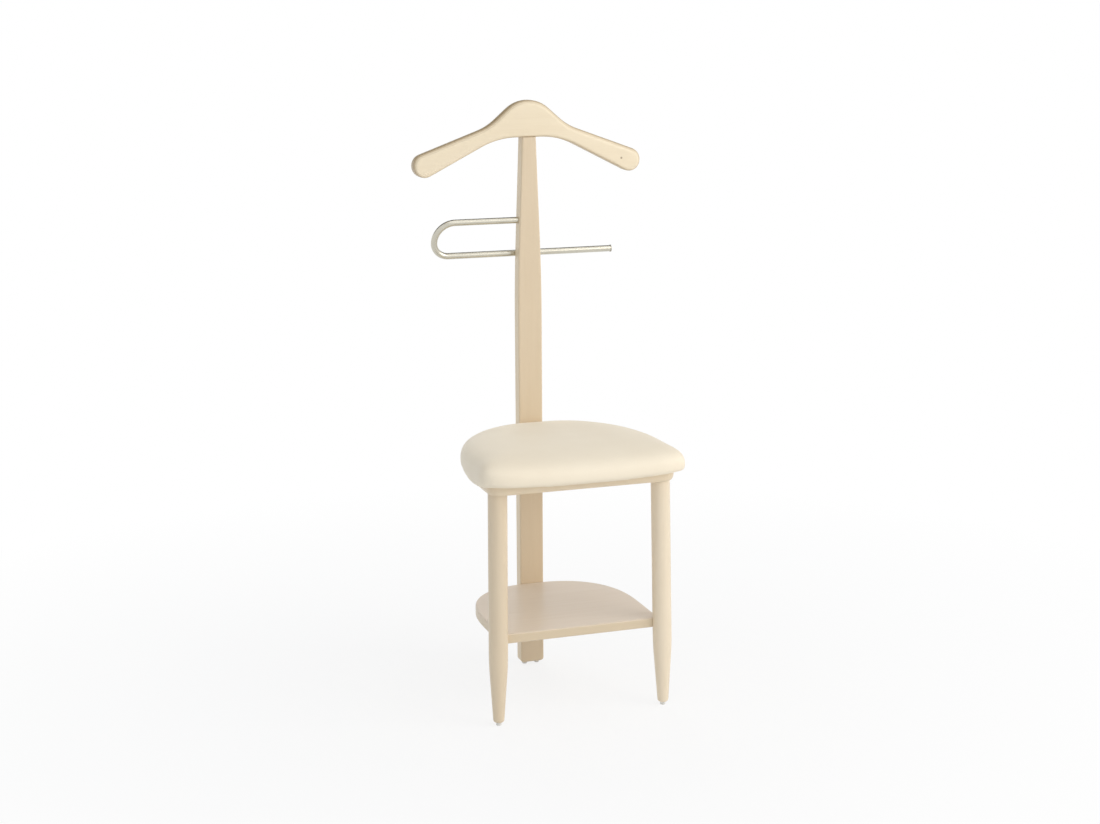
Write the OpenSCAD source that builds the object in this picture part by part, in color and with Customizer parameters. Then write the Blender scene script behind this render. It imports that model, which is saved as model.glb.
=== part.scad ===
// Clothes valet chair. A flat post stands on the floor, carries a coat hanger and a bent
// trouser bar, and holds, with two turned front legs, a D-shaped seat and a D-shaped shelf.
// Millimetres. +Z is up and +Y is the back. The origin is on the floor, under the middle of
// the whole chair.

/* [Overall] */
// Height from the floor to the top of the hanger
total_height = 1100; // [950:5:1250]
// Height from the floor to the underside of the seat board
seat_underside = 431; // [380:1:480]
// Height from the floor to the top of the shelf
shelf_top = 168; // [140:1:240]
// Distance between the axes of the two legs, where they meet the seat board
leg_spacing = 310; // [270:1:350]
// Distance from the axes of the legs back to the front face of the post
leg_to_post = 278; // [240:1:320]

/* [Post] */
// Width of the post below its taper
post_width = 47; // [44:1:60]
// Width of the post at its top end
post_top_width = 27; // [25:1:40]
// Thickness of the post, front to back
post_thickness = 26; // [24:1:34]
// Length of the tapered stretch, from its middle bend to the top end
post_taper_length = 267; // [230:1:300]
// Radius of the gentle bend where the taper starts
post_taper_radius = 4000; // [2000:100:5000]
// Rounding of the post's long edges
post_edge = 3; // [1:0.5:4]
// Rounding of the two bottom corners
post_foot_corner = 6; // [3:0.5:8]

/* [Hanger] */
// Distance between the two tips of the hanger
hanger_span = 444; // [400:2:480]
// Thickness of the hanger, front to back
hanger_thickness = 28; // [26:1:36]
// Height of the hub, from the post's top end to the top of the hanger
hub_height = 68; // [60:1:80]
// Radius of the crown of the hub
hub_radius = 60; // [50:1:64]
// Slope of the two sides of the hub, in degrees
hub_slope = 41; // [38:1:43]
// Distance from the middle to the bend where the hub meets the top of the arm
shoulder_x = 77; // [74:1:82]
// Radius of that bend
shoulder_radius = 110; // [60:5:120]
// Slope of the top edge of the arm, in degrees
arm_top_slope = 20; // [18:0.5:22]
// Slope of the underside of the arm, in degrees
arm_under_slope = 27; // [26:0.5:28]
// Distance from the middle to the bend where the flat underside of the hub meets the arm
under_x = 60; // [56:1:64]
// Radius of the bend under the arm
under_radius = 150; // [100:5:160]
// Length of the flat that is left at the round tip of the arm
tip_flat = 1; // [0.5:0.5:8]
// Rounding of the hanger's edges along its top
hanger_top_edge = 9; // [4:0.5:11]
// Rounding of its edges along its underside
hanger_under_edge = 5; // [2:0.5:6]

/* [Trouser bar] */
// Diameter of the tube
bar_diameter = 12; // [10:0.5:14]
// Wall of the tube
bar_wall = 1; // [0.8:0.1:1.5]
// Drop from the post's top end to the axis of the upper run
bar_drop = 155; // [120:1:220]
// Distance between the axes of the upper and the lower run
bar_run_gap = 67.3; // [60:0.1:76]
// Distance from the middle to the outside of the bend
bar_left_reach = 186; // [150:1:220]
// Distance from the middle to the free end
bar_right_reach = 174; // [120:1:220]
// Radius of the lower quarter of the bend. The upper quarter takes the rest of the distance
bend_lower_radius = 29; // [24:0.5:34]
// Distance from the middle of the post to the closed end of the hole for the upper run
bar_hole_end = 3; // [2:0.5:6]
// Clearance between the lower run and the back of the post
bar_gap = 0.2; // [0.1:0.1:0.5]
// Diameter of the flange of the end plug
plug_flange = 13.6; // [12.5:0.1:16]
// Thickness of that flange
plug_flange_height = 1.6; // [1:0.1:3]
// Length of the plug inside the tube
plug_length = 12; // [8:1:20]

/* [Legs] */
// Diameter of a leg above its taper
leg_diameter = 35; // [32:0.5:40]
// Diameter of the foot of a leg
foot_diameter = 20.5; // [18:0.5:24]
// Slope of the side of the tapered foot, in degrees
leg_taper = 3.9; // [3.5:0.1:4.5]
// Radius of the gentle bend where the taper starts
leg_taper_radius = 600; // [300:50:800]
// Rounding of the end of the foot
foot_round = 5; // [3:0.5:7]
// How much further apart each foot stands than the top of its leg
leg_splay = 5; // [0:0.5:10]
// How much further forward each foot stands than the top of its leg
leg_rake = 10; // [0:0.5:14]

/* [Seat board] */
// Thickness of the seat board
seat_thickness = 18; // [18:1:24]
// How far the board's edge stands out past the side of a leg
seat_side_overhang = 5; // [4:0.5:14]
// How far the board's front edge stands out past the front of a leg
seat_front_overhang = 11.5; // [8:0.5:16]
// Distance from the leg axes back to where the seat is widest
seat_widest = 40; // [20:1:70]
// Radius of the two front corners of the board
seat_corner = 24; // [14:1:30]
// How far the board's edge draws in at its underside
seat_under_round = 6; // [4:0.5:8]
// Height over which it draws in
seat_under_rise = 14; // [8:0.5:14]
// Rounding over the edge of the board
seat_top_round = 2; // [1:0.5:3.5]

/* [Cushion] */
// How far the cushion bulges past the side of the board
pad_side_bulge = 17.5; // [12:0.5:20]
// How far the cushion bulges past the front of the board
pad_front_bulge = 22; // [12:0.5:26]
// Height of the cushion's widest line above the board
pad_belly_height = 12; // [8:0.5:14]
// Height of the crown of the cushion above the board
pad_height = 48.5; // [36:0.5:60]
// How much lower the cushion hangs in the middle of its front edge than at the corners
pad_front_droop = 5; // [0:0.5:6]
// How much lower it hangs in the middle of its sides than at the corners
pad_side_droop = 4.5; // [0:0.5:5]
// Distance from the leg axes back to the lowest point of the sides
pad_side_low_y = 30; // [20:1:40]
// Distance from the leg axes back to the middle of the crown
pad_crown_y = 205; // [160:1:225]
// Clearance between the cushion and the post
pad_post_gap = 0.5; // [0.3:0.1:3]
// Thickness of the cover
cover_thickness = 1.2; // [1:0.1:1.5]
// Width of the cover's margin that is folded under the panel
cover_margin = 24; // [18:1:30]
// Thickness of the plywood panel in the cushion
base_thickness = 9; // [9:1:15]
// How far the panel's edge lies inside the board's edge
base_inset = 9; // [7:0.5:14]

/* [Shelf] */
// Thickness of the shelf
shelf_thickness = 18; // [15:1:22]
// How far the side of the shelf lies inside the axis of a leg
shelf_tuck = 4.5; // [1:0.5:6]
// How far the front edge of the shelf lies behind the axis of a leg
shelf_setback = 3; // [0:0.5:5]
// Distance from the leg axes back to where the shelf is widest
shelf_widest = 98; // [80:1:120]
// Rounding over the edge of the shelf
shelf_top_round = 3; // [2:0.5:6]
// Rounding under the edge of the shelf
shelf_under_round = 2; // [1:0.5:4]

/* [Fastenings] */
// Diameter of the dowels between the post and the hanger
hanger_dowel = 6; // [5:0.5:8]
// Distance between those two dowels
hanger_dowel_spacing = 13; // [11:0.5:14]
// Length of those dowels, half in each piece
hanger_dowel_length = 50; // [40:2:60]
// Diameter of the dowel between a leg and the shelf
shelf_dowel = 8; // [6:0.5:10]
// How deep that dowel sits in the leg
shelf_dowel_in_leg = 12; // [8:0.5:14]
// How deep that dowel sits in the shelf
shelf_dowel_in_shelf = 20; // [15:1:30]
// Thread diameter of the bolt that holds a leg
leg_bolt = 8; // [6:1:8]
// Length of that bolt under its head
leg_bolt_length = 30; // [26:1:34]
// Diameter of the bolt's head
leg_bolt_head = 15; // [13:0.5:18]
// Height of the bolt's head
leg_bolt_head_height = 4; // [3:0.5:5]
// Outer diameter of the threaded insert in a leg
insert_diameter = 12; // [11:0.5:14]
// Length of that insert
insert_length = 18; // [12:1:20]
// Shank diameter of the screws through the post
joint_screw = 7; // [5:0.5:7]
// Length of the screws through the post
joint_screw_length = 50; // [45:1:60]
// Distance between the two screws of a pair
joint_screw_spacing = 24; // [20:1:26]
// Depth at which the head of such a screw lies in the post's back
joint_screw_sink = 2.5; // [2:0.5:4]
// Diameter of the caps over those screws
cap_diameter = 14; // [13.5:0.5:16]
// Height of a cap above the post's back
cap_height = 1.6; // [1:0.1:2]
// Diameter of the screws that hold the cushion
pad_screw = 4; // [3:0.5:5]
// Length of the screws that hold the cushion
pad_screw_length = 25; // [23:1:26]
// Distance from the middle to a cushion screw
pad_screw_x = 100; // [80:1:115]
// Distance from the leg axes back to the front cushion screws
pad_screw_front = 30; // [20:1:50]
// Distance from the leg axes back to the rear cushion screws
pad_screw_rear = 185; // [150:1:195]
// Diameter of the screw that holds the trouser bar
bar_screw_diameter = 4; // [3:0.5:5]
// How deep that screw goes into the post
bar_screw_depth = 18; // [12:1:20]
// Height of that screw's head
bar_screw_head_height = 2.4; // [2:0.1:3]
// Radial clearance of every dowel, screw, bolt, insert and nail in its hole
fit_gap = 0.05; // [0.05:0.05:0.2]

/* [Glides and staples] */
// Diameter of a floor glide
glide_diameter = 10; // [9:0.5:12]
// Height of a floor glide
glide_height = 6; // [4:0.5:8]
// Distance between the two glides of the post
post_glide_spacing = 25; // [20:0.5:28]
// Diameter of a glide's nail
nail_diameter = 2; // [1.5:0.1:2.5]
// Length of the nail in the wood
nail_length = 14; // [10:1:20]
// Length of the nail in the glide
nail_in_glide = 3; // [2:0.5:3.5]
// Number of staples that hold the cover
staple_count = 16; // [8:2:24]
// Width of a staple
staple_width = 10; // [6:0.5:12]
// Length of a staple's legs
staple_leg = 6; // [4:0.5:7]

/* [Hidden] */

wood = "#E6D3B2";
wood_end = "#D9BE93";
leathercloth = "#F0E4D0";
steel = "#BDBBB2";
zinc = "#A9ABAD";
brass = "#C9A24B";
plastic = "#F4F2EE";
foam = "#F6E9C8";

// A hair's breadth by which a cutter passes the face that it cuts
past = 1;
// Steps of a quarter round along an edge
edge_steps = 4;
// Steps round the curved back of a board, and round each of its front corners
board_steps = 57;
corner_steps = 6;
// Points round the outline of the cushion
pad_points = 40;

// Places along the depth. The whole chair is centred on Y = 0.
leg_radius = leg_diameter / 2;
bar_radius = bar_diameter / 2;
seat_front = leg_radius + seat_front_overhang;
front_reach = seat_front + pad_front_bulge;
rear_reach = leg_to_post + post_thickness + bar_gap + bar_diameter + bar_screw_head_height;
leg_y = (front_reach - rear_reach) / 2;
post_front = leg_y + leg_to_post;
post_back = post_front + post_thickness;
post_middle = (post_front + post_back) / 2;

// Heights
post_top = total_height - hub_height;
seat_top = seat_underside + seat_thickness;
seat_middle = seat_underside + seat_thickness / 2;
shelf_underside = shelf_top - shelf_thickness;
shelf_middle = shelf_top - shelf_thickness / 2;
post_bend = post_top - post_taper_length;

// Axis of the right leg at a height: [x, y]
leg_x = leg_spacing / 2;
function leg_at(z) = [leg_x + leg_splay * (1 - z / seat_underside),
                      leg_y - leg_rake * (1 - z / seat_underside)];

// ---- Outlines: each point is [x, y, nx, ny], with the outward normal

// A D-shaped plan is [half width, widest y, rear y, front y, rear power, front shape]. Its
// back is half a superellipse, and a higher power makes it squarer.
function d_point(t, plan) =
    let (back = sin(t) >= 0,
         power = back ? plan[4] : plan[5],
         depth = back ? plan[2] - plan[1] : plan[1] - plan[3],
         x = sign(cos(t)) * pow(abs(cos(t)), 2 / power),
         y = sign(sin(t)) * pow(abs(sin(t)), 2 / power),
         slope = [sign(x) * pow(abs(x), power - 1) / plan[0],
                  sign(y) * pow(abs(y), power - 1) / depth])
    [plan[0] * x, plan[1] + depth * y, each slope / norm(slope)];

// A cushion's plan, whose front is half a superellipse too, of the power in its last place
function pad_outline(plan) = [for (i = [0 : pad_points - 1]) d_point(360 * i / pad_points, plan)];

// A board's plan, whose front is straight, with corners of the radius in its last place
function board_outline(plan) =
    concat([for (i = [0 : board_steps]) d_point(180 * i / board_steps, plan)],
           corner_arc([-plan[0], plan[1]], [-plan[0], plan[3], plan[5], corner_steps],
                      [plan[0], plan[3]]),
           corner_arc([-plan[0], plan[3]], [plan[0], plan[3], plan[5], corner_steps],
                      [plan[0], plan[1]]));

// A plan drawn in by the same distance all round
function shrunk(plan, by) =
    [plan[0] - by, plan[1], plan[2] - by, plan[3] + by, plan[4], plan[5]];

// The arc that rounds the corner b of the line a-b-c, with its radius and step count in b
function corner_arc(a, b, c) =
    let (into = [b[0] - a[0], b[1] - a[1]] / norm([b[0] - a[0], b[1] - a[1]]),
         out = [c[0] - b[0], c[1] - b[1]] / norm([c[0] - b[0], c[1] - b[1]]),
         turn = atan2(into[0] * out[1] - into[1] * out[0], into * out),
         side = sign(turn),
         start = [b[0], b[1]] - into * b[2] * tan(abs(turn) / 2),
         centre = start + side * b[2] * [-into[1], into[0]])
    [for (i = [0 : b[3]])
        let (heading = atan2(into[1], into[0]) + turn * i / b[3],
             normal = [sin(heading), -cos(heading)])
        [each centre + side * b[2] * normal, each normal]];

// A closed outline, counterclockwise, from its corners [x, y, radius, steps]
function rounded_outline(corners) =
    let (count = len(corners))
    [for (i = [0 : count - 1])
        each corner_arc(corners[(i + count - 1) % count], corners[i], corners[(i + 1) % count])];

function inset(outline, by) = [for (p = outline) [p[0] - by * p[2], p[1] - by * p[3]]];

function ring_at(points, z) = [for (p = points) [p[0], p[1], z]];

// ---- Shapes shared by several pieces

// A closed skin through rings of equally many points, lowest ring first. The flat ends are
// strips between the first and the second half of the ring.
module loft(rings) {
    count = len(rings[0]);
    top = (len(rings) - 1) * count;
    walls = [for (j = [0 : len(rings) - 2], i = [0 : count - 1])
        let (a = j * count + i, b = j * count + (i + 1) % count)
        each [[a, a + count, b + count], [a, b + count, b]]];
    strips = [for (i = [0 : count / 2 - 2])
        let (a = i, b = i + 1, c = count - 2 - i, d = count - 1 - i)
        each [[a, b, c], [a, c, d]]];
    lid = [for (face = strips) [top + face[0], top + face[2], top + face[1]]];
    polyhedron([for (ring = rings) each ring], concat(walls, strips, lid));
}

// A board with rounded edges, lying on z = 0. Its top edge is a quarter round, and its lower
// edge a quarter of an ellipse that is given as [width, height].
module rounded_board(outline, thickness, under, top_round) {
    angles = [for (i = [0 : edge_steps]) 90 * i / edge_steps];
    loft(concat(
        [for (a = angles)
            ring_at(inset(outline, under[0] * (1 - sin(a))), under[1] * (1 - cos(a)))],
        [for (a = angles)
            ring_at(inset(outline, top_round * (1 - cos(a))),
                    thickness - top_round * (1 - sin(a)))]));
}

function mix(a, b, share) = a + (b - a) * share;

// An outline at the height z, each point moved inwards and up by shares of its rounding
function rolled_ring(outline, rounds, inward, rise, z) =
    [for (i = [0 : len(outline) - 1])
        let (p = outline[i], r = rounds[i])
        [p[0] - r * inward * p[2], p[1] - r * inward * p[3], z + r * rise]];

// A board that stands upright, with the rounding of its edges given for each point of its
// outline. The outline is in X and Z, and the back face is at y.
module upright_board(outline, thickness, rounds, y) {
    angles = [for (i = [0 : edge_steps]) 90 * i / edge_steps];
    translate([0, y, 0])
        rotate([90, 0, 0])
            loft(concat(
                [for (a = angles) rolled_ring(outline, rounds, 1 - sin(a), 1 - cos(a), 0)],
                [for (a = angles)
                    rolled_ring(outline, rounds, 1 - cos(a), sin(a) - 1, thickness)]));
}

module both_sides() {
    children();
    mirror([1, 0, 0])
        children();
}

// Turns a shape that runs along +Z so that it runs along +Y, from the point given
module backwards(point) {
    translate(point)
        rotate([-90, 0, 0])
            children();
}

// ---- Post and hanger

module post_outline_board() {
    top_z = post_top + 2 * post_edge;
    slope = (post_width - post_top_width) / 2 / post_taper_length;
    top_x = post_top_width / 2 - slope * 2 * post_edge;
    side = [[post_width / 2, glide_height, post_foot_corner, edge_steps],
            [post_width / 2, post_bend, post_taper_radius, edge_steps],
            [top_x, top_z, post_edge, edge_steps]];
    other_side = [for (i = [len(side) - 1 : -1 : 0]) [-side[i][0], side[i][1], side[i][2], side[i][3]]];
    outline = rounded_outline(concat(side, other_side));
    upright_board(outline, post_thickness, [for (p = outline) post_edge], post_back);
}

module post() {
    color(wood)
        difference() {
            post_outline_board();
            translate([-post_width, post_front - past, post_top])
                cube([2 * post_width, post_thickness + 2 * past, 4 * post_edge]);
            hanger_dowel_rods(fit_gap);
            bar_upper_hole();
            bar_screw_shank(fit_gap);
            for (z = [seat_middle, shelf_middle])
                joint_screw_pair(z, fit_gap);
            post_nails(fit_gap);
        }
}

// Corner points of the right half of the hanger, from the crown to the underside. The tip's
// radius is that of the circle that touches both edges of the arm and the end of the span.
crown_corner_z = total_height - hub_radius + hub_radius / cos(hub_slope);
shoulder_z = crown_corner_z - shoulder_x * tan(hub_slope);
tip_x = hanger_span / 2;
tip_top_z = shoulder_z - (tip_x - shoulder_x) * tan(arm_top_slope);
tip_under_z = post_top - (tip_x - under_x) * tan(arm_under_slope);
tip_circle = (tip_top_z - tip_under_z)
    / (1 / cos(arm_top_slope) + 1 / cos(arm_under_slope) + tan(arm_under_slope) - tan(arm_top_slope));
tip_radius = tip_circle * (1 - tip_flat / (tip_top_z - tip_under_z));

// Rounding of the hanger's edges where the outline's normal has this height. Round the tips it
// grows from the underside's to the top's.
function hanger_round(normal_z) =
    let (share = (normal_z + cos(arm_under_slope)) / (cos(arm_top_slope) + cos(arm_under_slope)))
    mix(hanger_under_edge, hanger_top_edge, min(1, max(0, share)));

module hanger_board() {
    tip_steps = 8;
    shoulder_steps = 8;
    crown_steps = 13;
    under_steps = 15;
    over = [[tip_x, tip_top_z, tip_radius, tip_steps],
            [shoulder_x, shoulder_z, shoulder_radius, shoulder_steps],
            [0, crown_corner_z, hub_radius, crown_steps],
            [-shoulder_x, shoulder_z, shoulder_radius, shoulder_steps],
            [-tip_x, tip_top_z, tip_radius, tip_steps]];
    under = [[-tip_x, tip_under_z, tip_radius, tip_steps],
             [-under_x, post_top, under_radius, under_steps],
             [under_x, post_top, under_radius, under_steps],
             [tip_x, tip_under_z, tip_radius, tip_steps]];
    outline = rounded_outline(concat(over, under));
    upright_board(outline, hanger_thickness, [for (p = outline) hanger_round(p[3])],
                  post_middle + hanger_thickness / 2);
}

module hanger() {
    color(wood)
        difference() {
            hanger_board();
            hanger_dowel_rods(fit_gap);
        }
}

module hanger_dowel_rods(gap) {
    both_sides()
        translate([hanger_dowel_spacing / 2, post_middle, post_top - hanger_dowel_length / 2 - gap])
            cylinder(h = hanger_dowel_length + 2 * gap, r = hanger_dowel / 2 + gap, $fn = 32);
}

module hanger_dowels() {
    color(wood_end)
        hanger_dowel_rods(0);
}

// ---- Trouser bar: an upper run in the side of the post, a bend, and a lower run behind it

bar_upper_z = post_top - bar_drop;
bar_lower_y = post_back + bar_gap + bar_radius;
bar_tilt = asin((bar_lower_y - post_middle) / bar_run_gap);
bar_lower_z = bar_upper_z - bar_run_gap * cos(bar_tilt);
bend_upper_radius = bar_run_gap - bend_lower_radius;
bend_x = -bar_left_reach + bar_radius;
tube_end_x = bar_right_reach - plug_flange_height;

// A quarter turn of a rod of radius r, round a centre that lies radius from the line x = bend_x
module quarter_bend(radius, start, r) {
    translate([bend_x + radius, -bend_upper_radius, 0])
        rotate([0, 0, start])
            rotate_extrude(angle = 90, $fn = 96)
                translate([radius, 0])
                    circle(r = r, $fn = 32);
}

// A straight run of the bar at the height given in its plane, from start to end along X
module straight_run(start, end, height, r) {
    translate([start, height, 0])
        rotate([0, 90, 0])
            cylinder(h = end - start, r = r, $fn = 32);
}

// The whole bar as a solid rod of radius r, longer by extra at both ends
module bar_rod(r, extra) {
    translate([0, post_middle, bar_upper_z])
        rotate([90 + bar_tilt, 0, 0]) {
            straight_run(bend_x + bend_upper_radius, -bar_hole_end - fit_gap + extra, 0, r);
            quarter_bend(bend_upper_radius, 90, r);
            quarter_bend(bend_lower_radius, 180, r);
            straight_run(bend_x + bend_lower_radius, tube_end_x + extra, -bar_run_gap, r);
        }
}

module bar_upper_hole() {
    translate([-post_width, post_middle, bar_upper_z])
        rotate([0, 90, 0])
            cylinder(h = post_width - bar_hole_end, r = bar_radius + fit_gap, $fn = 48);
}

module trouser_bar() {
    color(steel)
        difference() {
            bar_rod(bar_radius, 0);
            bar_rod(bar_radius - bar_wall, past);
            bar_screw_shank(fit_gap);
        }
}

module bar_end_plug() {
    color(zinc)
        translate([tube_end_x, bar_lower_y, bar_lower_z])
            rotate([0, 90, 0]) {
                cylinder(h = plug_flange_height, r = plug_flange / 2, $fn = 48);
                translate([0, 0, -plug_length])
                    cylinder(h = plug_length + plug_flange_height / 2,
                             r = bar_radius - bar_wall - fit_gap, $fn = 48);
            }
}

// The shank of the screw through the lower run. With a gap it is the hole, open at the back.
module bar_screw_shank(gap) {
    backwards([0, post_back - bar_screw_depth - gap, bar_lower_z])
        cylinder(h = bar_screw_depth + bar_gap + bar_diameter + (gap > 0 ? past : 0),
                 r = bar_screw_diameter / 2 + gap, $fn = 32);
}

module bar_screw() {
    color(zinc)
        difference() {
            union() {
                bar_screw_shank(0);
                backwards([0, bar_lower_y + bar_radius, bar_lower_z])
                    cylinder(h = bar_screw_head_height, r = bar_screw_diameter, $fn = 48);
            }
            backwards([0, bar_lower_y + bar_radius + bar_screw_head_height, bar_lower_z])
                cross_slot(bar_screw_diameter, bar_screw_head_height / 2);
        }
}

// A cross-shaped recess of the width given, cut to both sides of z = 0
module cross_slot(width, depth) {
    arm_width = width / 5;
    for (turn = [0, 90])
        rotate([0, 0, turn])
            cube([width, arm_width, 2 * depth], center = true);
}

// ---- Legs

// One turned leg, pointing down from its top end, and long enough to be cut level
module turned_leg(length) {
    foot_x = foot_diameter / 2;
    round_z = -length + foot_round;
    bend_x = leg_radius - leg_taper_radius * (1 - cos(leg_taper));
    bend_low_z = round_z + (bend_x - foot_x) / tan(leg_taper);
    bend_top_z = bend_low_z + leg_taper_radius * sin(leg_taper);
    bend_steps = 6;
    rotate_extrude($fn = 96)
        polygon(concat(
            [[0, leg_diameter], [leg_radius, leg_diameter]],
            [for (i = [0 : bend_steps])
                let (a = leg_taper * i / bend_steps)
                [leg_radius - leg_taper_radius * (1 - cos(a)),
                 bend_top_z - leg_taper_radius * sin(a)]],
            [for (i = [0 : edge_steps])
                let (a = 90 * i / edge_steps)
                [foot_x - foot_round * (1 - cos(a)), round_z - foot_round * sin(a)]],
            [[0, -length]]));
}

// Turns what points down from the top of the right leg along that leg's axis
module along_leg() {
    reach = norm([leg_splay, leg_rake, seat_underside]);
    translate([leg_x, leg_y, seat_underside])
        rotate([-asin(leg_rake / reach), -atan2(leg_splay, seat_underside), 0])
            children();
}

// The right leg, cut level under the seat board and on its glide
module leg_body() {
    difference() {
        intersection() {
            along_leg()
                turned_leg(seat_underside - glide_height + fit_gap);
            translate([leg_x - leg_spacing / 2, leg_y - leg_spacing / 2, glide_height])
                cube([leg_spacing, leg_spacing, seat_underside - glide_height]);
        }
        leg_insert_body(fit_gap);
        leg_bolt_shank(2 * fit_gap);
        shelf_dowel_rod(fit_gap);
        leg_nail(fit_gap);
    }
}

module right_leg() {
    color(wood)
        leg_body();
}

module left_leg() {
    color(wood)
        mirror([1, 0, 0])
            leg_body();
}

module leg_insert_body(gap) {
    translate([leg_x, leg_y, seat_underside - insert_length - gap])
        cylinder(h = insert_length + (gap > 0 ? past : 0), r = insert_diameter / 2 + gap, $fn = 48);
}

module leg_inserts() {
    color(brass)
        both_sides()
            difference() {
                leg_insert_body(0);
                leg_bolt_shank(fit_gap);
            }
}

bolt_seat = seat_top - leg_bolt_head_height - 2 * fit_gap;
// Width of the hexagon in the bolt's head, as a share of its thread
bolt_hex_share = 0.7;

module leg_bolt_shank(gap) {
    translate([leg_x, leg_y, bolt_seat - leg_bolt_length - gap])
        cylinder(h = leg_bolt_length + 2 * gap, r = leg_bolt / 2 + gap, $fn = 48);
}

module leg_bolts() {
    color(zinc)
        both_sides()
            difference() {
                union() {
                    leg_bolt_shank(0);
                    translate([leg_x, leg_y, bolt_seat])
                        cylinder(h = leg_bolt_head_height, r = leg_bolt_head / 2, $fn = 48);
                }
                translate([leg_x, leg_y, bolt_seat + leg_bolt_head_height / 2])
                    cylinder(h = leg_bolt_head_height, d = leg_bolt * bolt_hex_share, $fn = 6);
            }
}

// ---- Seat board

// How far a board's curved back would reach into the post, where it is cut flat
flat_depth = 0.8;
rear_power = 2.5;
seat_half = leg_x + leg_radius + seat_side_overhang;
seat_plan = [seat_half, leg_y + seat_widest, post_front + flat_depth, leg_y - seat_front,
             rear_power, seat_corner];

// Everything behind the post's front face
module behind_post_front(z, height) {
    translate([-post_width, post_front, z - past])
        cube([2 * post_width, post_thickness, height + 2 * past]);
}

module seat_board() {
    color(wood)
        difference() {
            translate([0, 0, seat_underside])
                rounded_board(board_outline(seat_plan), seat_thickness,
                              [seat_under_round, seat_under_rise], seat_top_round);
            behind_post_front(seat_underside, seat_thickness);
            joint_screw_pair(seat_middle, fit_gap);
            pad_screw_set(fit_gap);
            both_sides() {
                leg_bolt_shank(2 * fit_gap);
                translate([leg_x, leg_y, bolt_seat - fit_gap])
                    cylinder(h = leg_bolt_head_height + past, r = leg_bolt_head / 2 + 4 * fit_gap,
                             $fn = 48);
            }
        }
}

// ---- Cushion: a plywood panel, foam round it, and a cover folded under the panel

// Powers of the two plans: the cushion's back and front, and the front of its panel
pad_rear_power = 2.55;
pad_front_power = 5.5;
base_front_power = 7;
pad_plan = [seat_half + pad_side_bulge, leg_y + seat_widest / 4, post_front - pad_post_gap,
            leg_y - seat_front - pad_front_bulge, pad_rear_power, pad_front_power];
base_plan = [seat_half - base_inset, leg_y + seat_widest, post_front - base_inset,
             leg_y - seat_front + base_inset, rear_power, base_front_power];
pad_crown = [0, leg_y + pad_crown_y];
// Powers of the cushion's profile: a square lower edge, a full upper edge and a rounder top
pad_under_power = 3.5;
pad_edge_power = 4.7;
pad_top_power = 2.7;
// Angles of the cushion's profile, from its foot up to its widest line, and from there to its top
pad_under_angles = [90, 83, 68, 48, 25];
pad_over_angles = [0, 14, 28, 41, 53, 64, 74, 82, 87];
// The angle from which the cushion's underside rests on the seat board and doesn't hang
pad_rest_angle = 75;
// Half the length over which the sides hang
pad_side_reach = 72;

// 1 in the middle of the front edge, 0 at its corners and along the back
function front_share(point) =
    let (forward = max(0, (pad_plan[1] - point[1]) / (pad_plan[1] - pad_plan[3])))
    pow(forward, 3) * max(0, 1 - pow(point[0] / pad_plan[0], 2));

// 1 in the middle of a side, 0 at the front corner and along the back
function side_share(point) =
    let (along = (point[1] - leg_y - pad_side_low_y) / pad_side_reach)
    pow(abs(point[0]) / pad_plan[0], 3) * max(0, 1 - pow(along, 2));

// How much lower than its corners the cushion's edge hangs at a point of its outline
function hang(point) = pad_front_droop * front_share(point) + pad_side_droop * side_share(point);

// Rings of the cushion's form, drawn in all round by the distance given. Under the widest line
// it draws in to the panel's edge, and outside the edge of the seat board it hangs over it.
function pad_under_rings(by) =
    let (belly = pad_outline(shrunk(pad_plan, by)),
         foot = pad_outline(shrunk(base_plan, -2 * cover_thickness)),
         drop = pad_belly_height - by)
    [for (a = pad_under_angles)
        let (inward = 1 - pow(cos(a), 2 / pad_under_power),
             z = seat_top + pad_belly_height - drop * pow(sin(a), 2 / pad_under_power))
        [for (i = [0 : pad_points - 1])
            [mix(belly[i][0], foot[i][0], inward), mix(belly[i][1], foot[i][1], inward),
             a < pad_rest_angle ? z - hang(belly[i]) : z]]];

// Above the widest line the outline closes in on the crown
function pad_over_rings(by) =
    let (belly = pad_outline(shrunk(pad_plan, by)),
         rise = pad_height - pad_belly_height - by)
    [for (a = pad_over_angles)
        let (reach = pow(cos(a), 2 / pad_edge_power),
             z = seat_top + pad_belly_height + rise * pow(sin(a), 2 / pad_top_power))
        [for (p = belly)
            [mix(pad_crown[0], p[0], reach), mix(pad_crown[1], p[1], reach),
             z - hang(p) * cos(a)]]];

function pad_rings(by) = concat(pad_under_rings(by), pad_over_rings(by));

function turned(list) = [for (i = [len(list) - 1 : -1 : 0]) list[i]];

base_bottom = seat_top + cover_thickness;

module base_body(gap) {
    translate([0, 0, base_bottom - gap])
        linear_extrude(height = base_thickness + 2 * gap)
            polygon(inset(pad_outline(base_plan), -gap));
}

module cushion_base() {
    color(wood_end)
        difference() {
            base_body(0);
            pad_screw_set(fit_gap);
            staple_ring(fit_gap);
        }
}

module cushion_foam() {
    color(foam)
        difference() {
            loft(pad_rings(cover_thickness + fit_gap));
            base_body(fit_gap);
            pad_screw_set(fit_gap);
        }
}

// One skin: down the inside, round the edge of the margin under the panel, and up the outside
module cushion_cover() {
    margin = pad_outline(shrunk(base_plan, cover_margin));
    color(leathercloth)
        difference() {
            loft(concat(turned(pad_rings(cover_thickness)),
                        [ring_at(margin, base_bottom), ring_at(margin, seat_top)],
                        pad_rings(0)));
            staple_ring(fit_gap);
        }
}

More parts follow.
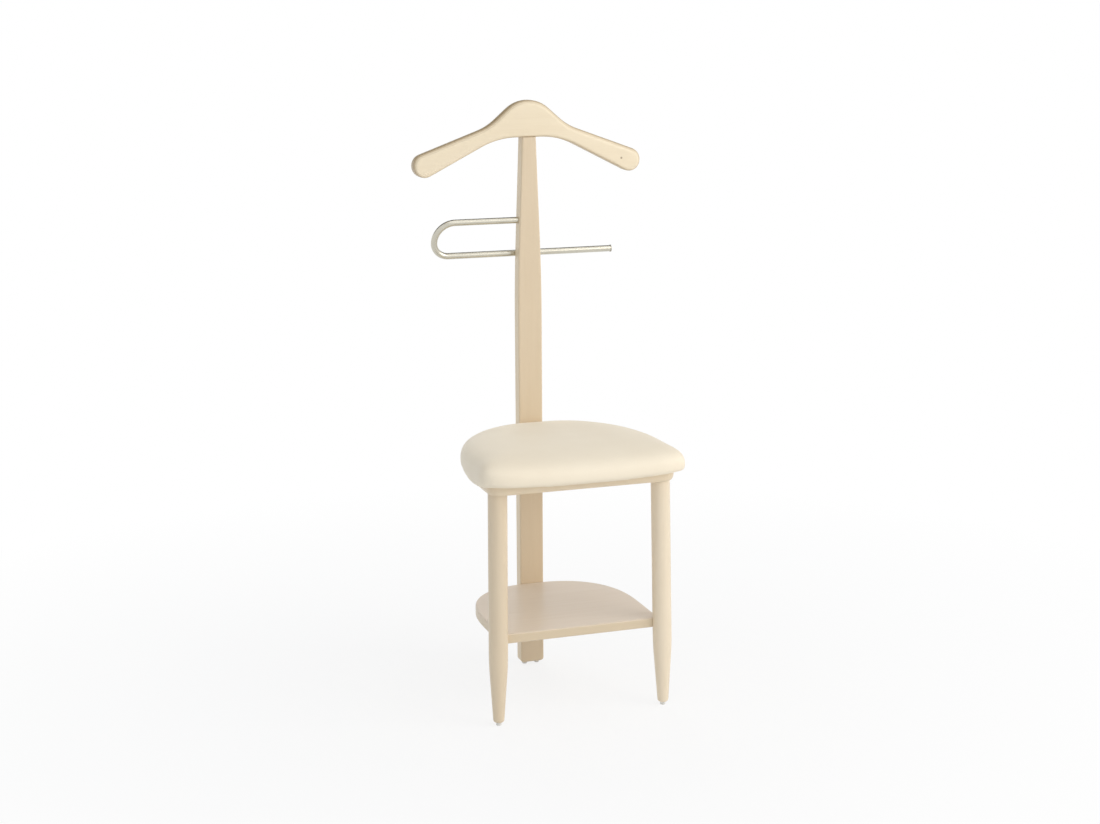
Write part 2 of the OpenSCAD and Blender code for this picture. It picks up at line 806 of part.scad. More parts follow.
// The staples, with their crowns pressed into the folded margin
module staple_ring(gap) {
    wire = 0.7;
    line = shrunk(base_plan, cover_margin / 2);
    for (i = [0 : staple_count - 1])
        let (p = d_point(360 * (i + 0.5) / staple_count, line))
        translate([p[0], p[1], seat_top + cover_thickness / 4 - gap])
            rotate([90, 0, atan2(p[3], p[2]) + 90])
                linear_extrude(height = wire + 2 * gap, center = true)
                    difference() {
                        translate([-staple_width / 2 - gap, 0])
                            square([staple_width + 2 * gap, wire + staple_leg + 2 * gap]);
                        translate([-staple_width / 2 + wire + gap, wire + 2 * gap])
                            square([staple_width - 2 * wire - 2 * gap, staple_leg + past]);
                    }
}

module cover_staples() {
    color(zinc)
        staple_ring(0);
}

// ---- Shelf

// The side and front of the shelf follow the axes of the legs at the shelf's height
shelf_leg = leg_at(shelf_middle);
// Radius of its two front corners, which the copes cut away
shelf_corner = 6;
shelf_plan = [shelf_leg[0] - shelf_tuck, leg_y + shelf_widest, post_front + flat_depth,
              shelf_leg[1] + shelf_setback, rear_power, shelf_corner];
// Clearance between the shelf's coped corner and the leg
cope_gap = 0.2;

module shelf() {
    color(wood)
        difference() {
            translate([0, 0, shelf_underside])
                rounded_board(board_outline(shelf_plan), shelf_thickness,
                              [shelf_under_round, shelf_under_round], shelf_top_round);
            behind_post_front(shelf_underside, shelf_thickness);
            joint_screw_pair(shelf_middle, fit_gap);
            both_sides() {
                along_leg()
                    translate([0, 0, -seat_underside])
                        cylinder(h = seat_underside, r = leg_radius + cope_gap, $fn = 96);
                shelf_dowel_rod(fit_gap);
            }
        }
}

// Heading of the shelf's dowel, level and inwards from the right leg
shelf_dowel_heading = 135;

module shelf_dowel_rod(gap) {
    translate([shelf_leg[0], shelf_leg[1], shelf_middle])
        rotate([0, 0, shelf_dowel_heading])
            rotate([0, 90, 0])
                translate([0, 0, leg_radius - shelf_dowel_in_leg - gap])
                    cylinder(h = shelf_dowel_in_leg + shelf_dowel_in_shelf + 2 * gap,
                             r = shelf_dowel / 2 + gap, $fn = 32);
}

module shelf_leg_dowels() {
    color(wood_end)
        both_sides()
            shelf_dowel_rod(0);
}

// ---- Screws through the post, and their caps

// The core of such a screw as a share of its shank, and its hexagon as a share of that core
joint_core_share = 0.7;
joint_hex_share = 0.8;
// How far its head stands out past the shank, and the height of the head
joint_head_rim = 1.5;
joint_head_height = 3;
joint_core = joint_screw * joint_core_share;
joint_head = joint_screw + 2 * joint_head_rim;

// One screw that points forward from y = 0, with its head's top face there
module joint_screw_body(gap) {
    rotate([90, 0, 0]) {
        cylinder(h = joint_head_height + gap, r1 = joint_head / 2 + gap, r2 = joint_core / 2 + gap,
                 $fn = 48);
        cylinder(h = post_thickness - joint_screw_sink + gap, r = joint_core / 2 + 2 * gap, $fn = 48);
        cylinder(h = joint_screw_length + gap, r = joint_core / 2 + gap, $fn = 48);
    }
}

// Both screws of a joint at height z. With a gap it also cuts the wells above the heads.
module joint_screw_pair(z, gap) {
    both_sides()
        translate([joint_screw_spacing / 2, post_back - joint_screw_sink, z]) {
            joint_screw_body(gap);
            if (gap > 0)
                rotate([-90, 0, 0])
                    translate([0, 0, -gap])
                        cylinder(h = joint_screw_sink + gap + past, r = joint_head / 2 + gap,
                                 $fn = 48);
        }
}

module joint_screws(z) {
    color(zinc)
        difference() {
            joint_screw_pair(z, 0);
            both_sides()
                translate([joint_screw_spacing / 2, post_back - joint_screw_sink, z])
                    rotate([90, 0, 0])
                        cylinder(h = joint_head_height, d = joint_core * joint_hex_share,
                                 center = true, $fn = 6);
        }
}

module seat_post_screws() {
    joint_screws(seat_middle);
}

module shelf_post_screws() {
    joint_screws(shelf_middle);
}

// A slightly domed cap, with a stem that fills the well above the screw's head
module cap() {
    stem = joint_screw_sink - 4 * fit_gap;
    dome = cap_height / 2;
    rotate_extrude($fn = 64)
        polygon(concat(
            [[0, -stem], [joint_head / 2, -stem], [joint_head / 2, 0], [cap_diameter / 2, 0]],
            [for (i = [0 : edge_steps])
                let (a = 90 * i / edge_steps)
                [cap_diameter / 2 * cos(a), dome + (cap_height - dome) * sin(a)]]));
}

module screw_caps() {
    color(wood)
        both_sides()
            for (z = [seat_middle, shelf_middle])
                backwards([joint_screw_spacing / 2, post_back, z])
                    cap();
}

// ---- Cushion screws, pointing up through the seat board into the panel

module pad_screw_body(gap) {
    head_height = pad_screw / 2;
    cylinder(h = head_height + gap, r1 = pad_screw + gap, r2 = pad_screw / 2 + gap, $fn = 32);
    cylinder(h = pad_screw_length + gap, r = pad_screw / 2 + gap, $fn = 32);
    if (gap > 0)
        translate([0, 0, -past])
            cylinder(h = past + gap, r = pad_screw + gap, $fn = 32);
}

module pad_screw_set(gap) {
    both_sides()
        for (y = [pad_screw_front, pad_screw_rear])
            translate([pad_screw_x, leg_y + y, seat_underside + fit_gap])
                pad_screw_body(gap);
}

module cushion_screws() {
    color(zinc)
        difference() {
            pad_screw_set(0);
            both_sides()
                for (y = [pad_screw_front, pad_screw_rear])
                    translate([pad_screw_x, leg_y + y, seat_underside + fit_gap])
                        cross_slot(pad_screw, pad_screw / 4);
        }
}

// ---- Glides and their nails

module glide() {
    tread_round = 2;
    difference() {
        rotate_extrude($fn = 64)
            polygon(concat(
                [[0, 0]],
                [for (i = [0 : edge_steps])
                    let (a = 90 * i / edge_steps)
                    [glide_diameter / 2 - tread_round * (1 - sin(a)), tread_round * (1 - cos(a))]],
                [[glide_diameter / 2, glide_height], [0, glide_height]]));
        nail(fit_gap);
    }
}

// One nail, upright over a glide that stands on z = 0
module nail(gap) {
    translate([0, 0, glide_height - nail_in_glide - gap])
        cylinder(h = nail_in_glide + nail_length + 2 * gap, r = nail_diameter / 2 + gap, $fn = 24);
}

module over_leg_foot() {
    translate([leg_at(glide_height)[0], leg_at(glide_height)[1], 0])
        children();
}

module under_post() {
    both_sides()
        translate([post_glide_spacing / 2, post_middle, 0])
            children();
}

module leg_nail(gap) {
    over_leg_foot()
        nail(gap);
}

module post_nails(gap) {
    under_post()
        nail(gap);
}

module leg_glides() {
    color(plastic)
        both_sides()
            over_leg_foot()
                glide();
}

module post_glides() {
    color(plastic)
        under_post()
            glide();
}

module glide_nails() {
    color(zinc) {
        both_sides()
            leg_nail(0);
        post_nails(0);
    }
}

post();
hanger();
hanger_dowels();
trouser_bar();
bar_end_plug();
bar_screw();
seat_board();
cushion_base();
cushion_foam();
cushion_cover();
cover_staples();
cushion_screws();
left_leg();
right_leg();
leg_bolts();
leg_inserts();
shelf();
shelf_leg_dowels();
seat_post_screws();
shelf_post_screws();
screw_caps();
leg_glides();
post_glides();
glide_nails();
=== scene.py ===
from collections import namedtuple
import math

import bmesh
import bpy
from mathutils import Matrix, Vector


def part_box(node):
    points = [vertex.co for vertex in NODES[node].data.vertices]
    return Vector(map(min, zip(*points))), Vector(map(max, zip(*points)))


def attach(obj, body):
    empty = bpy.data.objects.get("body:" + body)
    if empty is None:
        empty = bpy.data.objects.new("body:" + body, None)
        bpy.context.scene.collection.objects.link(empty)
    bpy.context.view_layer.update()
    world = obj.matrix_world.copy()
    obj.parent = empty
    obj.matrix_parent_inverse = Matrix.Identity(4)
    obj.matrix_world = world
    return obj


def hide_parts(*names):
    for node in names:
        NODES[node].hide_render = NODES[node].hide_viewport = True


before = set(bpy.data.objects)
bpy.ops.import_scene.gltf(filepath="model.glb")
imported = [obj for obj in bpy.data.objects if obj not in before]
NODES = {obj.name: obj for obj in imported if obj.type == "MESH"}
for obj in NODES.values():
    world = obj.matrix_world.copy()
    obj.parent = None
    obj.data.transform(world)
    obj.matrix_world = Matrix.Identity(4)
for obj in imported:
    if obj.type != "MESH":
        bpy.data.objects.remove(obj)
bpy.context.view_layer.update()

scene = bpy.context.scene

# Places on the object, in metres, as the frame has them. The seat board ends at the post's front.
BOARD_LOW, BOARD_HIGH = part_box("seat_board")
COVER_LOW, COVER_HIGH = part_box("cushion_cover")
BOARD_FRONT = BOARD_LOW[1]
BOARD_HALF, POST_FRONT, SEAT_TOP = BOARD_HIGH
HANGER_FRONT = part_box("hanger")[0][1]

# Places that part.scad sets and the frame's boxes don't give: the middle of the legs' tops, and
# the radius of the seat board's front corners
LEG_Y = -0.1338
BOARD_CORNER = 0.024


# ---- Node helpers

WHITE = (1, 1, 1, 1)

# A tint that darkens a colour. It has all of its share where a value stands at full, and nothing
# where the value stands at gone.
Tint = namedtuple("Tint", "colour share full gone")


def link(tree, source, target):
    tree.links.new(source, target)


def new_material(name):
    """A material with one Principled shader: the material, its node tree and the shader."""
    material = bpy.data.materials.new(name)
    material.use_nodes = True
    tree = material.node_tree
    tree.nodes.clear()
    output = tree.nodes.new("ShaderNodeOutputMaterial")
    shader = tree.nodes.new("ShaderNodeBsdfPrincipled")
    link(tree, shader.outputs["BSDF"], output.inputs["Surface"])
    return material, tree, shader


def srgb(r, g, b):
    """A colour given in 0-255 sRGB, as Blender's linear RGBA."""
    def linear(c):
        c /= 255
        return c / 12.92 if c <= 0.04045 else ((c + 0.055) / 1.055) ** 2.4
    return (linear(r), linear(g), linear(b), 1)


def darker(colour, share):
    return tuple(c * share for c in colour[:3]) + (1,)


def drawn_out(grain, share):
    """A stretch that lengthens a texture along the grain's axis: its scale there is the share
    given of its scale across."""
    return tuple(share if axis == grain else 1 for axis in "xyz")


def place(tree, stretch=(1, 1, 1), shift=(0, 0, 0)):
    """Object coordinates, which are the frame's metres, times the stretch and then shifted."""
    coords = tree.nodes.new("ShaderNodeTexCoord")
    mapping = tree.nodes.new("ShaderNodeMapping")
    mapping.inputs["Scale"].default_value = stretch
    mapping.inputs["Location"].default_value = shift
    link(tree, coords.outputs["Object"], mapping.inputs["Vector"])
    return mapping.outputs["Vector"]


def noise(tree, vector, scale, detail=3, roughness=0.55, distortion=0):
    node = tree.nodes.new("ShaderNodeTexNoise")
    node.inputs["Scale"].default_value = scale
    node.inputs["Detail"].default_value = detail
    node.inputs["Roughness"].default_value = roughness
    node.inputs["Distortion"].default_value = distortion
    link(tree, vector, node.inputs["Vector"])
    return node.outputs["Fac"]


def ramp(tree, value, *stops):
    """A colour ramp through stops, each a position and a colour."""
    node = tree.nodes.new("ShaderNodeValToRGB")
    elements = node.color_ramp.elements
    while len(elements) < len(stops):
        elements.new(0.5)
    for element, (position, colour) in zip(elements, stops):
        element.position = position
        element.color = colour
    link(tree, value, node.inputs["Fac"])
    return node.outputs["Color"]


def spread(tree, value, low, high, new_low, new_high):
    """A value that runs from low to high, brought to run from new_low to new_high."""
    node = tree.nodes.new("ShaderNodeMapRange")
    node.inputs["From Min"].default_value = low
    node.inputs["From Max"].default_value = high
    node.inputs["To Min"].default_value = new_low
    node.inputs["To Max"].default_value = new_high
    link(tree, value, node.inputs["Value"])
    return node.outputs["Result"]


def math_node(tree, operation, a, b):
    """One operation on two values, each a socket or a number."""
    node = tree.nodes.new("ShaderNodeMath")
    node.operation = operation
    for socket, value in zip(node.inputs, (a, b)):
        if isinstance(value, (int, float)):
            socket.default_value = value
        else:
            link(tree, value, socket)
    return node.outputs["Value"]


def mixed(tree, factor, a, b, blend="MIX"):
    """A mix of two colours. The factor and the colours are sockets or fixed values."""
    node = tree.nodes.new("ShaderNodeMix")
    node.data_type = "RGBA"
    node.blend_type = blend
    sockets = (node.inputs[0], node.inputs[6], node.inputs[7])
    for socket, value in zip(sockets, (factor, a, b)):
        if isinstance(value, (int, float, tuple)):
            socket.default_value = value
        else:
            link(tree, value, socket)
    return node.outputs[2]


def tinted(tree, colour, value, tint):
    """The colour, darkened by the tint as the value says."""
    stops = sorted([(tint.full, tint.colour), (tint.gone, WHITE)])
    return mixed(tree, tint.share, colour, ramp(tree, value, *stops), "MULTIPLY")


def bump(tree, shader, height, strength, distance):
    """Relief from a height of 0 to 1, of which 1 stands the distance proud, in metres."""
    node = tree.nodes.new("ShaderNodeBump")
    node.inputs["Strength"].default_value = strength
    node.inputs["Distance"].default_value = distance
    link(tree, height, node.inputs["Height"])
    link(tree, node.outputs["Normal"], shader.inputs["Normal"])


def dress(names, material):
    """Gives the CAD nodes named the material."""
    for name in names:
        data = NODES[name].data
        data.materials.clear()
        data.materials.append(material)


# ---- Lacquered wood

# A second tone, for the faces that don't look along the axis: painted light where it is lighter
# than the first, painted shade where it is darker. It gives way to the first while the normal's
# share along that axis goes from low to high.
PaintedSideShading = namedtuple("PaintedSideShading", "axis tone low high")

HANGER_TONE = srgb(242, 227, 199)
# The hanger's rounded edges, tips and underside, the faces that don't look forwards or backwards:
# painted shade, darker than its front
HANGER_PAINTED_EDGE_SHADE = PaintedSideShading("y", srgb(190, 166, 127), low=0.35, high=0.99)
POST_TONE = srgb(225, 206, 177)
# The post's sides, top and foot: painted light, lighter than its front and back
POST_PAINTED_SIDE_LIGHT = PaintedSideShading("y", srgb(236, 217, 184), low=0.3, high=0.95)
RIM_TONE = srgb(234, 216, 187)
# The legs are one wood in two tones: painted shade on the left leg and painted light on the right
# one, falling off away from the key lamp on the right
LEFT_LEG_SHADED_TONE = srgb(229, 211, 183)
RIGHT_LEG_LIT_TONE = srgb(241, 226, 201)
SHELF_TONE = srgb(231, 217, 200)
# The shelf's rim, the faces that don't look up or down: painted shade, darker than its top
SHELF_PAINTED_RIM_SHADE = PaintedSideShading("z", srgb(221, 203, 174), low=0.25, high=0.85)

# What varies a tone: fine streaks and broad bands along the grain, and clouds
STREAK_TINT = Tint((0.95, 0.935, 0.905, 1), share=0.45, full=0.3, gone=0.55)
BAND_TINT = Tint((0.96, 0.945, 0.92, 1), share=0.4, full=0.35, gone=0.6)
CLOUD_TINT = Tint((0.965, 0.955, 0.94, 1), share=0.5, full=0.3, gone=0.7)

# How the grain draws textures out: their scale along it, as a share of their scale across it
FIBRE_DRAW = 0.06
PORE_DRAW = 0.05

# Edges rubbed down to a darker tone, more in some places than in others
WORN_WOOD = srgb(214, 190, 152)
WORN_WIDTH = 0.0016
WORN_FULL = 0.86
WORN_NONE = 0.985
WORN_SHARE = 0.5

# The lacquer's roughness, from its smooth streaks to its rough ones, and what wear adds to it
SMOOTH_LACQUER = 0.37
ROUGH_LACQUER = 0.45
WORN_ROUGHNESS = 0.25

# The small brown fleck on the hanger's right arm
FLECK_AT = (0.183, HANGER_FRONT, 0.988)
FLECK_BROWN = srgb(120, 88, 52)
FLECK_CORE = 0.0012
FLECK_RADIUS = 0.0026
FLECK_SHARE = 0.75


def worn_edges(tree):
    """1 along edges that stick out, 0 elsewhere: where a normal rounded off over the worn width
    leaves the true one."""
    rounded = tree.nodes.new("ShaderNodeBevel")
    rounded.samples = 6
    rounded.inputs["Radius"].default_value = WORN_WIDTH
    true = tree.nodes.new("ShaderNodeNewGeometry")
    across = tree.nodes.new("ShaderNodeVectorMath")
    across.operation = "DOT_PRODUCT"
    link(tree, rounded.outputs["Normal"], across.inputs[0])
    link(tree, true.outputs["Normal"], across.inputs[1])
    return spread(tree, across.outputs["Value"], WORN_FULL, WORN_NONE, 1, 0)


def facing(tree, axis, low, high):
    """1 on faces that look along the axis given, forwards or backwards, 0 on faces across it:
    the normal's share along the axis, from low to high."""
    # The mask of the painted light and painted shade that the side tones give
    true = tree.nodes.new("ShaderNodeNewGeometry")
    parts = tree.nodes.new("ShaderNodeSeparateXYZ")
    link(tree, true.outputs["Normal"], parts.inputs["Vector"])
    share = math_node(tree, "ABSOLUTE", parts.outputs[axis.upper()], 0)
    return spread(tree, share, low, high, 0, 1)


def flecked(tree, colour, centre):
    """The colour with one small fleck round a point of the frame."""
    coords = tree.nodes.new("ShaderNodeTexCoord")
    offset = tree.nodes.new("ShaderNodeVectorMath")
    offset.operation = "DISTANCE"
    offset.inputs[1].default_value = centre
    link(tree, coords.outputs["Object"], offset.inputs[0])
    spot = spread(tree, offset.outputs["Value"], FLECK_CORE, FLECK_RADIUS, FLECK_SHARE, 0)
    return mixed(tree, spot, colour, FLECK_BROWN)


def lacquered_wood(name, grain, tone, shift, sides=None, fleck=None):
    """Pale satin lacquer over wood whose faint grain runs along the axis given. The shift moves
    the pattern, so that no two pieces share it."""
    material, tree, shader = new_material(name)
    plain = place(tree, shift=shift)
    fibre = place(tree, drawn_out(grain, FIBRE_DRAW), shift)
    streaks = noise(tree, fibre, scale=150, detail=5, roughness=0.62, distortion=0.5)
    bands = noise(tree, fibre, scale=22, roughness=0.5, distortion=0.7)
    clouds = noise(tree, plain, scale=6, detail=2)
    scuffs = noise(tree, plain, scale=60, detail=4, roughness=0.7)
    pores = noise(tree, place(tree, drawn_out(grain, PORE_DRAW), shift), scale=520, roughness=0.7)

    colour = tone
    # Painted light and painted shade: the faces across the sides' axis take the second tone
    if sides:
        colour = mixed(tree, facing(tree, sides.axis, sides.low, sides.high), sides.tone, tone)
    colour = tinted(tree, colour, streaks, STREAK_TINT)
    colour = tinted(tree, colour, bands, BAND_TINT)
    colour = tinted(tree, colour, clouds, CLOUD_TINT)
    rubbed = math_node(tree, "MULTIPLY", worn_edges(tree),
                       spread(tree, scuffs, 0.42, 0.68, 0, WORN_SHARE))
    colour = mixed(tree, rubbed, colour, WORN_WOOD)
    if fleck:
        colour = flecked(tree, colour, fleck)
    link(tree, colour, shader.inputs["Base Color"])

    roughness = spread(tree, streaks, 0.2, 0.8, ROUGH_LACQUER, SMOOTH_LACQUER)
    roughness = math_node(tree, "ADD", roughness,
                          math_node(tree, "MULTIPLY", rubbed, WORN_ROUGHNESS))
    link(tree, roughness, shader.inputs["Roughness"])
    shader.inputs["Coat Weight"].default_value = 0.25
    shader.inputs["Coat Roughness"].default_value = 0.2
    bump(tree, shader, pores, strength=0.06, distance=0.00006)
    return material


# Painted shade on the hanger's edges and the shelf's rim, painted light on the post's sides
dress(["post"], lacquered_wood("Post_wood", "z", POST_TONE, (0.3, 0.1, 0.7), POST_PAINTED_SIDE_LIGHT))
dress(["hanger"], lacquered_wood("Hanger_wood", "x", HANGER_TONE, (0.9, 0.4, 0.2), HANGER_PAINTED_EDGE_SHADE,
                                 FLECK_AT))
dress(["seat_board"], lacquered_wood("Seat_wood", "x", RIM_TONE, (0.5, 0.8, 0.1)))
dress(["shelf"], lacquered_wood("Shelf_wood", "x", SHELF_TONE, (0.2, 0.6, 0.9), SHELF_PAINTED_RIM_SHADE))
dress(["left_leg"], lacquered_wood("Left_leg_shaded_wood", "z", LEFT_LEG_SHADED_TONE, (0.7, 0.2, 0.5)))
dress(["right_leg"], lacquered_wood("Right_leg_lit_wood", "z", RIGHT_LEG_LIT_TONE, (0.1, 0.9, 0.3)))
dress(["screw_caps"], lacquered_wood("Cap_wood", "x", POST_TONE, (0.6, 0.5, 0.4)))


# ---- Raw wood, inside the chair

BEECH = (srgb(222, 190, 142), srgb(196, 158, 108))
PLYWOOD = (srgb(214, 184, 138), srgb(186, 150, 104))


def raw_wood(name, grain, tones):
    """Bare wood with plain streaks, from a light and a dark tone."""
    material, tree, shader = new_material(name)
    light, dark = tones
    fibre = place(tree, drawn_out(grain, FIBRE_DRAW))
    streaks = noise(tree, fibre, scale=240, detail=5, roughness=0.65, distortion=0.5)
    link(tree, ramp(tree, streaks, (0.3, dark), (0.7, light)), shader.inputs["Base Color"])
    shader.inputs["Roughness"].default_value = 0.72
    bump(tree, shader, streaks, strength=0.4, distance=0.0003)
    return material


dress(["hanger_dowels"], raw_wood("Hanger_dowel_wood", "z", BEECH))
dress(["shelf_leg_dowels"], raw_wood("Shelf_dowel_wood", "x", BEECH))
dress(["cushion_base"], raw_wood("Plywood", "x", PLYWOOD))


# ---- Metal

BRUSH_DRAW = 0.02


def metal(name, colour, roughness, brushed=None):
    """A satin metal. Its fine brush lines run along the axis given, if there is one."""
    material, tree, shader = new_material(name)
    shader.inputs["Metallic"].default_value = 1
    lines = noise(tree, place(tree, drawn_out(brushed, BRUSH_DRAW)), scale=900, detail=4,
                  roughness=0.6)
    dull = noise(tree, place(tree), scale=24)
    link(tree, ramp(tree, dull, (0.3, darker(colour, 0.9)), (0.65, colour)),
         shader.inputs["Base Color"])
    link(tree, spread(tree, lines, 0.25, 0.75, roughness - 0.02, roughness + 0.03),
         shader.inputs["Roughness"])
    bump(tree, shader, lines, strength=0.03, distance=0.00003)
    return material


dress(["trouser_bar"], metal("Satin_nickel", srgb(207, 203, 189), roughness=0.22, brushed="x"))
dress(["bar_end_plug"], metal("Plug_nickel", srgb(176, 171, 158), roughness=0.3))
dress(["bar_screw"], metal("Bar_screw_nickel", srgb(184, 180, 170), roughness=0.3))
dress(["cover_staples", "cushion_screws", "leg_bolts", "seat_post_screws", "shelf_post_screws",
       "glide_nails"], metal("Bright_zinc", srgb(204, 207, 210), roughness=0.28))
dress(["leg_inserts"], metal("Turned_brass", srgb(214, 176, 92), roughness=0.3))


# ---- Plastic, foam and leathercloth

def plastic(name, colour, roughness):
    """Moulded plastic with a faint mottle."""
    material, tree, shader = new_material(name)
    mottle = noise(tree, place(tree), scale=160)
    link(tree, ramp(tree, mottle, (0.35, darker(colour, 0.93)), (0.65, colour)),
         shader.inputs["Base Color"])
    link(tree, spread(tree, mottle, 0.3, 0.7, roughness - 0.05, roughness + 0.08),
         shader.inputs["Roughness"])
    bump(tree, shader, noise(tree, place(tree), scale=900, detail=2), strength=0.1,
         distance=0.0001)
    return material


def foam(name):
    """Open foam, with cells that show as a fine relief."""
    material, tree, shader = new_material(name)
    cells = noise(tree, place(tree), scale=700, detail=4, roughness=0.7)
    link(tree, ramp(tree, cells, (0.35, srgb(224, 206, 158)), (0.6, srgb(246, 234, 198))),
         shader.inputs["Base Color"])
    shader.inputs["Roughness"].default_value = 0.95
    bump(tree, shader, cells, strength=0.8, distance=0.0006)
    return material


COVER_SHADE = srgb(247, 235, 213)
COVER_LIGHT = srgb(251, 240, 219)
# Painted shade in the pebble's hollows, where the distance from a pebble's middle is large
PEBBLE_HOLLOW_SHADE = Tint((0.93, 0.91, 0.88, 1), share=0.5, full=0.9, gone=0)


def leathercloth(name):
    """Smooth cream leathercloth: a fine pebble with painted shade in its hollows, and colour that
    hardly varies.
    """
    material, tree, shader = new_material(name)
    where = place(tree)
    pebble = tree.nodes.new("ShaderNodeTexVoronoi")
    pebble.feature = "SMOOTH_F1"
    pebble.inputs["Scale"].default_value = 900
    pebble.inputs["Smoothness"].default_value = 0.6
    link(tree, where, pebble.inputs["Vector"])
    away = pebble.outputs["Distance"]
    fine = noise(tree, where, scale=1500, roughness=0.6)
    soft = noise(tree, where, scale=9, detail=2, roughness=0.5)

    colour = ramp(tree, soft, (0.3, COVER_SHADE), (0.7, COVER_LIGHT))
    # Painted shade: darker in the pebble's hollows
    colour = tinted(tree, colour, away, PEBBLE_HOLLOW_SHADE)
    link(tree, colour, shader.inputs["Base Color"])
    link(tree, spread(tree, fine, 0.3, 0.7, 0.5, 0.6), shader.inputs["Roughness"])
    shader.inputs["Sheen Weight"].default_value = 0.12
    shader.inputs["Sheen Roughness"].default_value = 0.4
    relief = math_node(tree, "ADD", math_node(tree, "MULTIPLY", away, -1.0),
                       math_node(tree, "MULTIPLY", fine, 0.35))
    bump(tree, shader, relief, strength=0.25, distance=0.00025)
    return material


dress(["leg_glides", "post_glides"], plastic("White_plastic", srgb(238, 237, 232), roughness=0.4))
dress(["cushion_foam"], foam("Foam"))
LEATHERCLOTH = leathercloth("Cream_leathercloth")
dress(["cushion_cover"], LEATHERCLOTH)


# ---- Cushion: the CAD form in finer steps, drawn in a little and swelled as cloth

# Its widest line, the belly, and its crown. Heights are above the seat board.
BELLY_HEIGHT = 0.012
BELLY_Y = LEG_Y + 0.010
PAD_HEIGHT = COVER_HIGH[2] - SEAT_TOP
CROWN = Vector((0, LEG_Y + 0.205))

# Its foot, where it draws in to the panel's edge, a little inside the board's outline
FOOT_INSET = 0.0066
FOOT_Y = LEG_Y + 0.040

# How much lower than its corners the edge hangs, in the middle of the front and at the sides.
# Below the widest line the droop fades, and it is gone at the rest angle, near the board.
FRONT_DROOP = 0.0058
SIDE_DROOP = 0.0072
SIDE_LOW_Y = LEG_Y + 0.030
SIDE_REACH = 0.072
SIDE_FADE = 12
DROOP_POWER = 3
REST_ANGLE = 75
REST_FADE = 10

# Its section: superellipse powers, and how much fuller the top is at the sides
UNDER_POWER = 3.5
EDGE_POWER = 4.7
TOP_POWER = 2.7
SIDE_FULLNESS = 0.7

# The rings, by their angle in degrees below and above the widest line
RING_POINTS = 160
UNDER_ANGLES = range(90, 5, -6)
OVER_ANGLES = (*range(0, 85, 6), 86, 88, 89.5)

# The cloth step. The form starts smaller by the first two, all round and at its crown, and what
# lies over the board below the held height stays in place.
DRAWN_IN = 0.0003
TOP_SWELL = 0.0014
TOP_SWELL_POWER = 3
VOXEL = 0.0045
SWELL_CAP = 0.0018
SWELL_PRESSURE = 4
SWELL_FRAMES = 20
EVENING_ROUNDS = 25
HELD_HEIGHT = 0.0015

# The least gap to the board and the post
CLEARANCE = 0.0003


def power_sign(value, power):
    return math.copysign(abs(value) ** power, value)


class Plan:
    """A D-shaped outline: two half superellipses that meet at the widest line."""

    def __init__(self, half, widest, rear, front, rear_power, front_power):
        self.half, self.widest, self.rear, self.front = half, widest, rear, front
        self.rear_power, self.front_power = rear_power, front_power

    def drawn_in(self, by):
        return Plan(self.half - by, self.widest, self.rear - by, self.front + by,
                    self.rear_power, self.front_power)

    def point(self, turn):
        back = math.sin(turn) >= 0
        power = 2 / (self.rear_power if back else self.front_power)
        depth = self.rear - self.widest if back else self.widest - self.front
        return Vector((self.half * power_sign(math.cos(turn), power),
                       self.widest + depth * power_sign(math.sin(turn), power)))


PAD_PLAN = Plan(COVER_HIGH[0], BELLY_Y, COVER_HIGH[1], COVER_LOW[1],
                rear_power=2.55, front_power=5.5)
FOOT_PLAN = Plan(BOARD_HALF - FOOT_INSET, FOOT_Y, POST_FRONT - FOOT_INSET,
                 BOARD_FRONT + FOOT_INSET, rear_power=2.5, front_power=7)


def hang(p, angle=0):
    """How much lower than its corners the cushion's edge hangs at a point of its outline. Above
    the widest line the front's share fades slowly with the angle, and the sides' share soon."""
    forward = max(0, (PAD_PLAN.widest - p.y) / (PAD_PLAN.widest - PAD_PLAN.front))
    front = forward ** DROOP_POWER * max(0, 1 - (p.x / PAD_PLAN.half) ** 2)
    along = (p.y - SIDE_LOW_Y) / SIDE_REACH
    side = (abs(p.x) / PAD_PLAN.half) ** DROOP_POWER * max(0, 1 - along ** 2)
    return (FRONT_DROOP * front * math.cos(angle)
            + SIDE_DROOP * side * math.cos(angle) ** SIDE_FADE)


def under_ring(belly, foot, by, degrees):
    """A ring below the widest line, where the form draws in to the panel's edge."""
    a = math.radians(degrees)
    inward = 1 - abs(math.cos(a)) ** (2 / UNDER_POWER)
    height = SEAT_TOP + BELLY_HEIGHT - (BELLY_HEIGHT - by) * math.sin(a) ** (2 / UNDER_POWER)
    hanging = min(1, max(0, (REST_ANGLE - degrees) / REST_FADE))
    return [Vector((*b.lerp(f, inward), height - hang(b) * hanging)) for b, f in zip(belly, foot)]


def over_ring(belly, degrees):
    """A ring above the widest line, where the outline closes in on the crown."""
    a = math.radians(degrees)
    reach = math.cos(a) ** (2 / EDGE_POWER)
    full = PAD_HEIGHT - BELLY_HEIGHT - TOP_SWELL * math.sin(a) ** TOP_SWELL_POWER
    ring = []
    for b in belly:
        power = TOP_POWER + SIDE_FULLNESS * (b.x / PAD_PLAN.half) ** 2
        height = SEAT_TOP + BELLY_HEIGHT + full * math.sin(a) ** (2 / power)
        ring.append(Vector((*CROWN.lerp(b, reach), height - hang(b, a))))
    return ring


